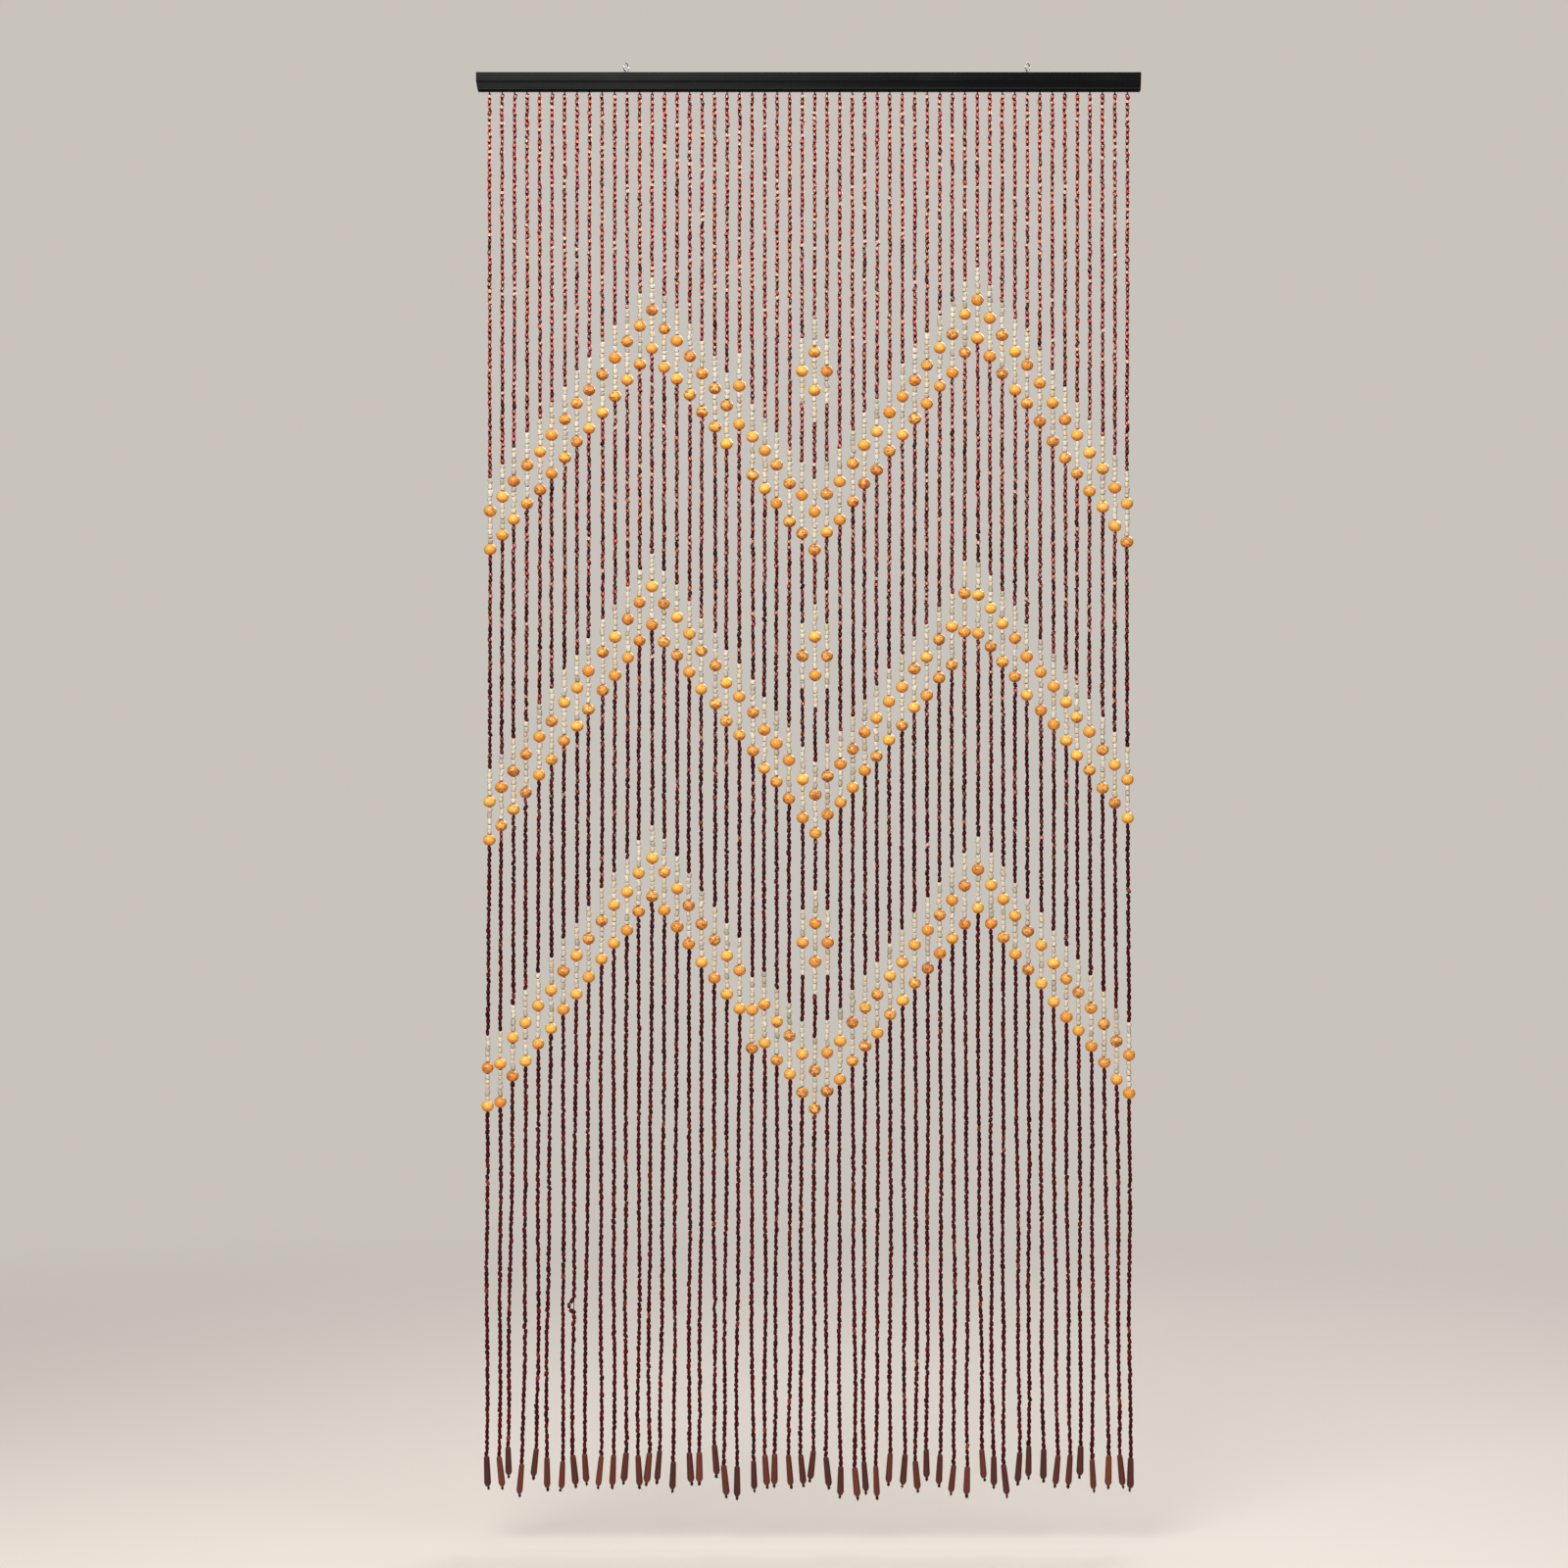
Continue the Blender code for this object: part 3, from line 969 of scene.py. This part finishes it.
def thread_dark(section):
    """The dark beads of a section, joined into one mesh."""
    places = []
    for strand in range(section * STRANDS // SECTIONS, (section + 1) * STRANDS // SECTIONS):
        for top, bottom in strung[strand][0]:
            for drop, share in fill_run(top, bottom, DARK_PITCH, DARK_UNEVEN):
                odds = generator.normal(0.0, 1.0, 2).clip(*DARK_CLIP)
                wide, deep = 1.0 + WIDTH_SCATTER * odds
                high = 1.0 - drop / STRAND_LENGTH
                slim = 1.0 - SLIMMER_HIGH * high
                above, below = [strand_place(strand, drop + half) for half in HALF_PITCHES]
                long = share * (above - below).length / DARK_PITCH
                size = (wide * slim, deep * slim, long)
                place = on_strand(strand, drop, size, TILT, DARK_OFF_LINE)
                batch = high * (DARK_CELLS - 1)
                row = round(batch + generator.normal(0.0, BATCH_BLUR))
                cell = (int(generator.integers(DARK_CELLS)), max(0, min(DARK_CELLS - 1, row)))
                places.append((place, cell))
    name = "dark_beads_" + str(section + 1)
    piece = copy_beads(name, shapes["dark"], places, DARK_CELLS, dark_stain)
    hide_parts("strands_" + str(section + 1))
    return len(places)


print("dark beads:", sum(thread_dark(section) for section in range(SECTIONS)))

# %% [markdown]
# ## White beads
#
# The white beads are short, uneven barrels, more like chips of shell than turned wood. They
# are ivory rather than white, a few are yellower, and they are darker towards both ends.

# %% Ivory finish
WHITE_CELLS = 16
paint = Finish("ivory_beads", {"Specular IOR Level": 0.3})
cell, _, along, ring = read_tray(paint, WHITE_CELLS)
luck = chance(paint, cell, 5.0)
ivory = paint.node(
    "ValToRGB",
    {"stops": [
        (0.00, (0.360, 0.300, 0.215)),
        (0.30, (0.500, 0.435, 0.340)),
        (0.75, (0.620, 0.560, 0.455)),
        (1.00, (0.560, 0.440, 0.250)),
    ]},
    {"Fac": luck},
)
mouth = paint.step((along - 0.5).math("ABSOLUTE"), 0.33, 0.49)
cloud = paint.noise(ring, 2.4, detail=3.0)
# The bead is darker towards both ends of its hole.
ivory = paint.mix(ivory, (0.360, 0.290, 0.200), mouth * 0.35)
ivory = paint.mix(ivory, (0.560, 0.510, 0.420), paint.step(cloud, 0.50, 0.72) * 0.6)
paint.paint("Base Color", ivory)
paint.paint("Roughness", 0.24 + cloud * 0.24)
paint.bump(cloud, 0.35, 0.0004)
ivory_gloss = paint
paint.tell()

# %% Thread the white beads
WHITE_TILT = math.radians(9.0)
WHITE_UNEVEN = 0.35
WHITE_WIDTH_SCATTER = 0.10
WHITE_CLIP = (-2.0, 1.5)
WHITE_OFF_LINE = 0.00030
places = []
for strand in range(STRANDS):
    for top, bottom in strung[strand][1]:
        for drop, share in fill_run(top, bottom, WHITE_PITCH, WHITE_UNEVEN):
            odds = generator.normal(0.0, 1.0, 2).clip(*WHITE_CLIP)
            wide, deep = 1.0 + WHITE_WIDTH_SCATTER * odds
            size = (wide, deep, share)
            place = on_strand(strand, drop, size, WHITE_TILT, WHITE_OFF_LINE)
            cell = tuple(int(value) for value in generator.integers(WHITE_CELLS, size=2))
            places.append((place, cell))
copy_beads("white_beads", shapes["white"], places, WHITE_CELLS, ivory_gloss)
print("white beads:", len(places))

# %% [markdown]
# ## Golden balls
#
# The big balls are turned from pale wood and dipped in amber lacquer. The lacquer is thin and
# yellow on the belly and stops in red-brown blotches where the wood took it badly, with the
# wood's growth lines showing through. Below the middle the colour is painted darker, orange and
# then red-brown at the bottom, and a band round the top hole is painted darker too: painted
# shade of light that falls from above. Pale flakes in the grain are painted more often on the
# upper half, where they are a painted highlight. Some balls are almost clean and some are
# heavily mottled.

# %% Amber lacquer
BALL_CELLS = 16
DIPPED = {"Specular IOR Level": 0.25, "Coat Weight": 0.35, "Coat Roughness": 0.16}
paint = Finish("amber_lacquer", DIPPED)
cell, _, along, ring = read_tray(paint, BALL_CELLS, flatness=1.7)
luck = chance(paint, cell, 7.0)
mottle_luck = chance(paint, cell, 11.0)
from_belly = (along - 0.5).math("ABSOLUTE")
amber_and_painted_light = paint.mix((0.680, 0.240, 0.012), (0.880, 0.480, 0.070), luck)
# Darker orange below the middle, red-brown at the bottom and a darker band round the top hole:
# painted shade of light from above.
amber_and_painted_light = paint.mix(amber_and_painted_light, (0.700, 0.210, 0.004), paint.step(along, 0.46, 0.32))
amber_and_painted_light = paint.mix(amber_and_painted_light, (0.190, 0.022, 0.004), paint.step(along, 0.26, 0.08) * 0.9)
amber_and_painted_light = paint.mix(amber_and_painted_light, (0.420, 0.110, 0.012), paint.step(along, 0.78, 0.95) * 0.8)
blotch = paint.noise(ring, 1.5, detail=3.5, rough=0.6, distortion=0.5)
blotch_edge = 0.70 - mottle_luck * 0.22
blotches = paint.step(blotch + from_belly * 0.28 - blotch_edge, 0.0, 0.06)
amber_and_painted_light = paint.mix(amber_and_painted_light, (0.290, 0.042, 0.010), blotches * 0.85)
grain = paint.noise(ring, 7.0, detail=2.0)
growth = paint.noise(ring, 0.9, detail=1.0, distortion=0.6)
veins = paint.step(((growth * 6.0).math("FRACT") - 0.5).math("ABSOLUTE"), 0.20, 0.03)
amber_and_painted_light = paint.mix(amber_and_painted_light, (0.260, 0.050, 0.008), veins * (0.20 + mottle_luck * 0.40))
# Pale flakes in the grain, weighted to the upper half: partly the wood's grain, partly a painted
# highlight.
grain_flakes_and_highlight = paint.step(grain, 0.50, 0.68) * (0.15 + paint.step(along, 0.36, 0.62) * 0.45)
amber_and_painted_light = paint.mix(amber_and_painted_light, (0.930, 0.640, 0.270), grain_flakes_and_highlight)
specks = paint.step(paint.noise(ring, 13.0, detail=1.0), 0.70, 0.75)
amber_and_painted_light = paint.mix(amber_and_painted_light, (0.090, 0.030, 0.012), specks * 0.7)
hole = paint.step(from_belly, 0.455, 0.485)
paint.paint("Base Color", paint.mix(amber_and_painted_light, (0.030, 0.010, 0.006), hole * 0.9))
paint.paint("Roughness", 0.30 + grain * 0.12 + blotches * 0.12)
paint.bump(blotch * 0.6 + grain * 0.4, 0.18, 0.0005)
amber_lacquer = paint
paint.tell()

# %% Thread the balls
BALL_TILT = math.radians(5.0)
BALL_SIZE_SCATTER = 0.02
places = []
for strand in range(STRANDS):
    for drop in strung[strand][2]:
        wide = 1.0 + BALL_SIZE_SCATTER * generator.normal(0.0, 1.0)
        place = on_strand(strand, drop, (wide, wide, 1.0), BALL_TILT)
        cell = tuple(int(value) for value in generator.integers(BALL_CELLS, size=2))
        places.append((place, cell))
copy_beads("golden_balls", shapes["ball"], places, BALL_CELLS, amber_lacquer)

# %% [markdown]
# ## Drops and end beads
#
# A strand ends in a long wooden drop that keeps it straight, with a small bead under it where
# the thread is tied off. The drops are stained plum brown, some redder, with the grain running
# down them, and the stain is darker on the rims at both ends.

# %% Stained drop wood
DROP_CELLS = 8
WAXED = {"Specular IOR Level": 0.12, "Coat Weight": 0.18, "Coat Roughness": 0.22}
paint = Finish("stained_drop_wood", WAXED)
cell, _, along, ring = read_tray(paint, DROP_CELLS)
luck = chance(paint, cell, 13.0)
plum = paint.node(
    "ValToRGB",
    {"stops": [
        (0.00, (0.058, 0.016, 0.014)),
        (0.40, (0.085, 0.018, 0.014)),
        (0.75, (0.122, 0.024, 0.016)),
        (1.00, (0.160, 0.036, 0.018)),
    ]},
    {"Fac": luck},
)
long_ring = paint.node("VectorMath", {"operation": "MULTIPLY"}, {0: ring, 1: (3.0, 3.0, 1.6)})
grain = paint.noise(long_ring, 2.6, detail=4.0)
fine = paint.noise(long_ring, 9.0, detail=2.0)
plum = paint.mix(plum, (0.030, 0.010, 0.010), paint.step(grain, 0.50, 0.70) * 0.6)
plum = paint.mix(plum, (0.230, 0.100, 0.060), paint.step(fine, 0.58, 0.74) * 0.30)
rims = paint.step((along - 0.5).math("ABSOLUTE"), 0.34, 0.42)
plum = paint.mix(plum, (0.020, 0.008, 0.007), rims * 0.55)
paint.paint("Base Color", plum)
paint.paint("Roughness", 0.34 + grain * 0.25)
paint.bump(grain * 0.7 + fine * 0.3, 0.35, 0.0004)
drop_stain = paint
paint.tell()

# %% Hang the drops
DROP_LENGTH = 0.0415
END_GAP = 0.0026
FLATTER = 0.12
SHORTER = 0.11
END_ASIDE = 0.0005
END_LEAN = 0.25
END_SMALLEST, END_LARGER = 0.85, 0.3
DARKEST_CELLS = ((5, 0), (7, 0), (9, 0), (6, 1), (0, 2), (11, 3), (1, 0))
drops, ends, thread_lengths = [], [], []
for strand in range(STRANDS):
    top = strand_place(strand, tip_drop(strand))
    down = (strand_place(strand, tip_drop(strand) + DROP_LENGTH) - top).normalized()
    along = (-down).to_track_quat("Z", "Y").to_matrix().to_4x4()
    spin = Matrix.Rotation(generator.uniform(0.0, math.tau), 4, "Z")
    flat = 1.0 - FLATTER * generator.uniform()
    long = 1.0 - SHORTER * generator.uniform() ** 2
    drop_size = Matrix.Diagonal((1.0, flat, long, 1.0))
    drop_cell = (strand % DROP_CELLS, strand // DROP_CELLS)
    drops.append((Matrix.Translation(top) @ along @ drop_size @ spin, drop_cell))
    below = DROP_LENGTH * long + END_GAP
    thread_lengths.append(tip_drop(strand) + below)
    under = top + down * below + Vector((generator.normal(0.0, END_ASIDE), 0.0, 0.0))
    lean = Matrix.Rotation(generator.normal(0.0, END_LEAN), 4, "Y")
    size = END_SMALLEST + END_LARGER * generator.uniform()
    end_size = Matrix.Diagonal((size, size, size, 1.0))
    end_cell = DARKEST_CELLS[strand % len(DARKEST_CELLS)]
    ends.append((Matrix.Translation(under) @ along @ lean @ spin @ end_size, end_cell))
copy_beads("wooden_drops", shapes["drop"], drops, DROP_CELLS, drop_stain)
copy_beads("end_beads", shapes["end"], ends, DARK_CELLS, dark_stain)

# %% [markdown]
# ## Threads, knots and strips
#
# The thread itself shows in three places: as a dark stub under the rail, between beads that
# do not quite meet, and as a cut tail under each end bead, which has frayed into three on some
# strands. Each one is a thin tube that follows its strand. The knots in the rail's groove are
# held by four strips, which from below are one flat black line with the threads coming out.

# %% Waxed thread
paint = Finish("waxed_thread")
twist = paint.noise(paint.object_place((1200.0, 1200.0, 700.0)), 1.0, detail=2.0)
paint.paint("Base Color", paint.mix((0.010, 0.002, 0.002), (0.042, 0.013, 0.011), twist))
paint.paint("Roughness", 0.55 + twist * 0.3)
waxed_thread = paint
paint.tell()

# %% Run the threads
THREAD_RADIUS = 0.0006
STUB_RADIUS = 0.0011
THREAD_STATIONS = 44
STUB_INSIDE = 0.001
STUB_TAPER = 0.8
FRAYED_SHARE = 0.3
TAIL_SPREAD = 0.0012
TAIL_FALL = 0.0035
TAIL_BEND = 0.0003
TAIL_RADII = (0.7, 0.6, 0.35)


def add_line(curve, points, radii):
    """Add a run of thread through points. A radius is a share of the thread's own."""
    spline = curve.splines.new("POLY")
    spline.points.add(len(points) - 1)
    for point, place, radius in zip(spline.points, points, radii):
        point.co = (*place, 1.0)
        point.radius = radius


curve = bpy.data.curves.new("threads", "CURVE")
curve.dimensions = "3D"
curve.bevel_depth = THREAD_RADIUS
curve.bevel_resolution = 0
curve.use_fill_caps = True
for strand in range(STRANDS):
    length = thread_lengths[strand]
    root = strand_place(strand, 0.0) + Vector((0.0, 0.0, STUB_INSIDE))
    stub = [root, strand_place(strand, ROOT_STUB)]
    stations = [length * k / THREAD_STATIONS for k in range(1, THREAD_STATIONS + 1)]
    line = [strand_place(strand, station) for station in stations]
    thick = STUB_RADIUS / THREAD_RADIUS
    add_line(curve, stub + line, [thick, thick * STUB_TAPER] + [1.0] * len(line))
    for _ in range(3 if generator.uniform() < FRAYED_SHARE else 1):
        east, north = generator.normal(0.0, TAIL_SPREAD), generator.normal(0.0, TAIL_SPREAD)
        away = Vector((east, north, -TAIL_FALL))
        middle = line[-1] + away * 0.5 + Vector((generator.normal(0.0, TAIL_BEND), 0.0, 0.0))
        add_line(curve, [line[-1], middle, line[-1] + away], TAIL_RADII)
line_object = bpy.data.objects.new("threads", curve)
bpy.context.scene.collection.objects.link(line_object)
mesh = settled_mesh(line_object)
bpy.data.objects.remove(line_object)
dress("strand_threads", mesh, waxed_thread)

# %% The strips in the groove
STRIP_ARRIS = 0.0003
shape = bmesh.new()
for section in range(SECTIONS):
    left = (section * STRANDS / SECTIONS - STRANDS / 2) * STRAND_PITCH + FIT / 2
    right = left + STRANDS / SECTIONS * STRAND_PITCH - FIT
    made = bmesh.ops.create_cube(shape, size=1.0)["verts"]
    bmesh.ops.scale(shape, vec=(right - left, STRIP_DEPTH, STRIP_HEIGHT), verts=made)
    middle = Vector(((left + right) / 2, 0.0, rail_low.z + STRIP_HEIGHT / 2))
    bmesh.ops.translate(shape, vec=middle, verts=made)
bmesh.ops.bevel(
    shape,
    geom=list(shape.edges),
    offset=STRIP_ARRIS,
    offset_type="OFFSET",
    segments=2,
    profile=0.5,
    affect="EDGES",
    material=-1,
)
make_piece("root_strips", shape, rail_paint)

# %% [markdown]
# ## Last look
#
# The five single shapes have done their work and are taken away. The box of everything built
# is kept beside the box of the solids, so that the two can be compared after each run.

# %% Sizes, and the end
for mesh in shapes.values():
    bpy.data.meshes.remove(mesh)
boxes = {"cad": cad_box, "visual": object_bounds()}
for name, (low, high) in boxes.items():
    print(name, "box:", [round(side * 1000, 1) for side in high - low], "mm")
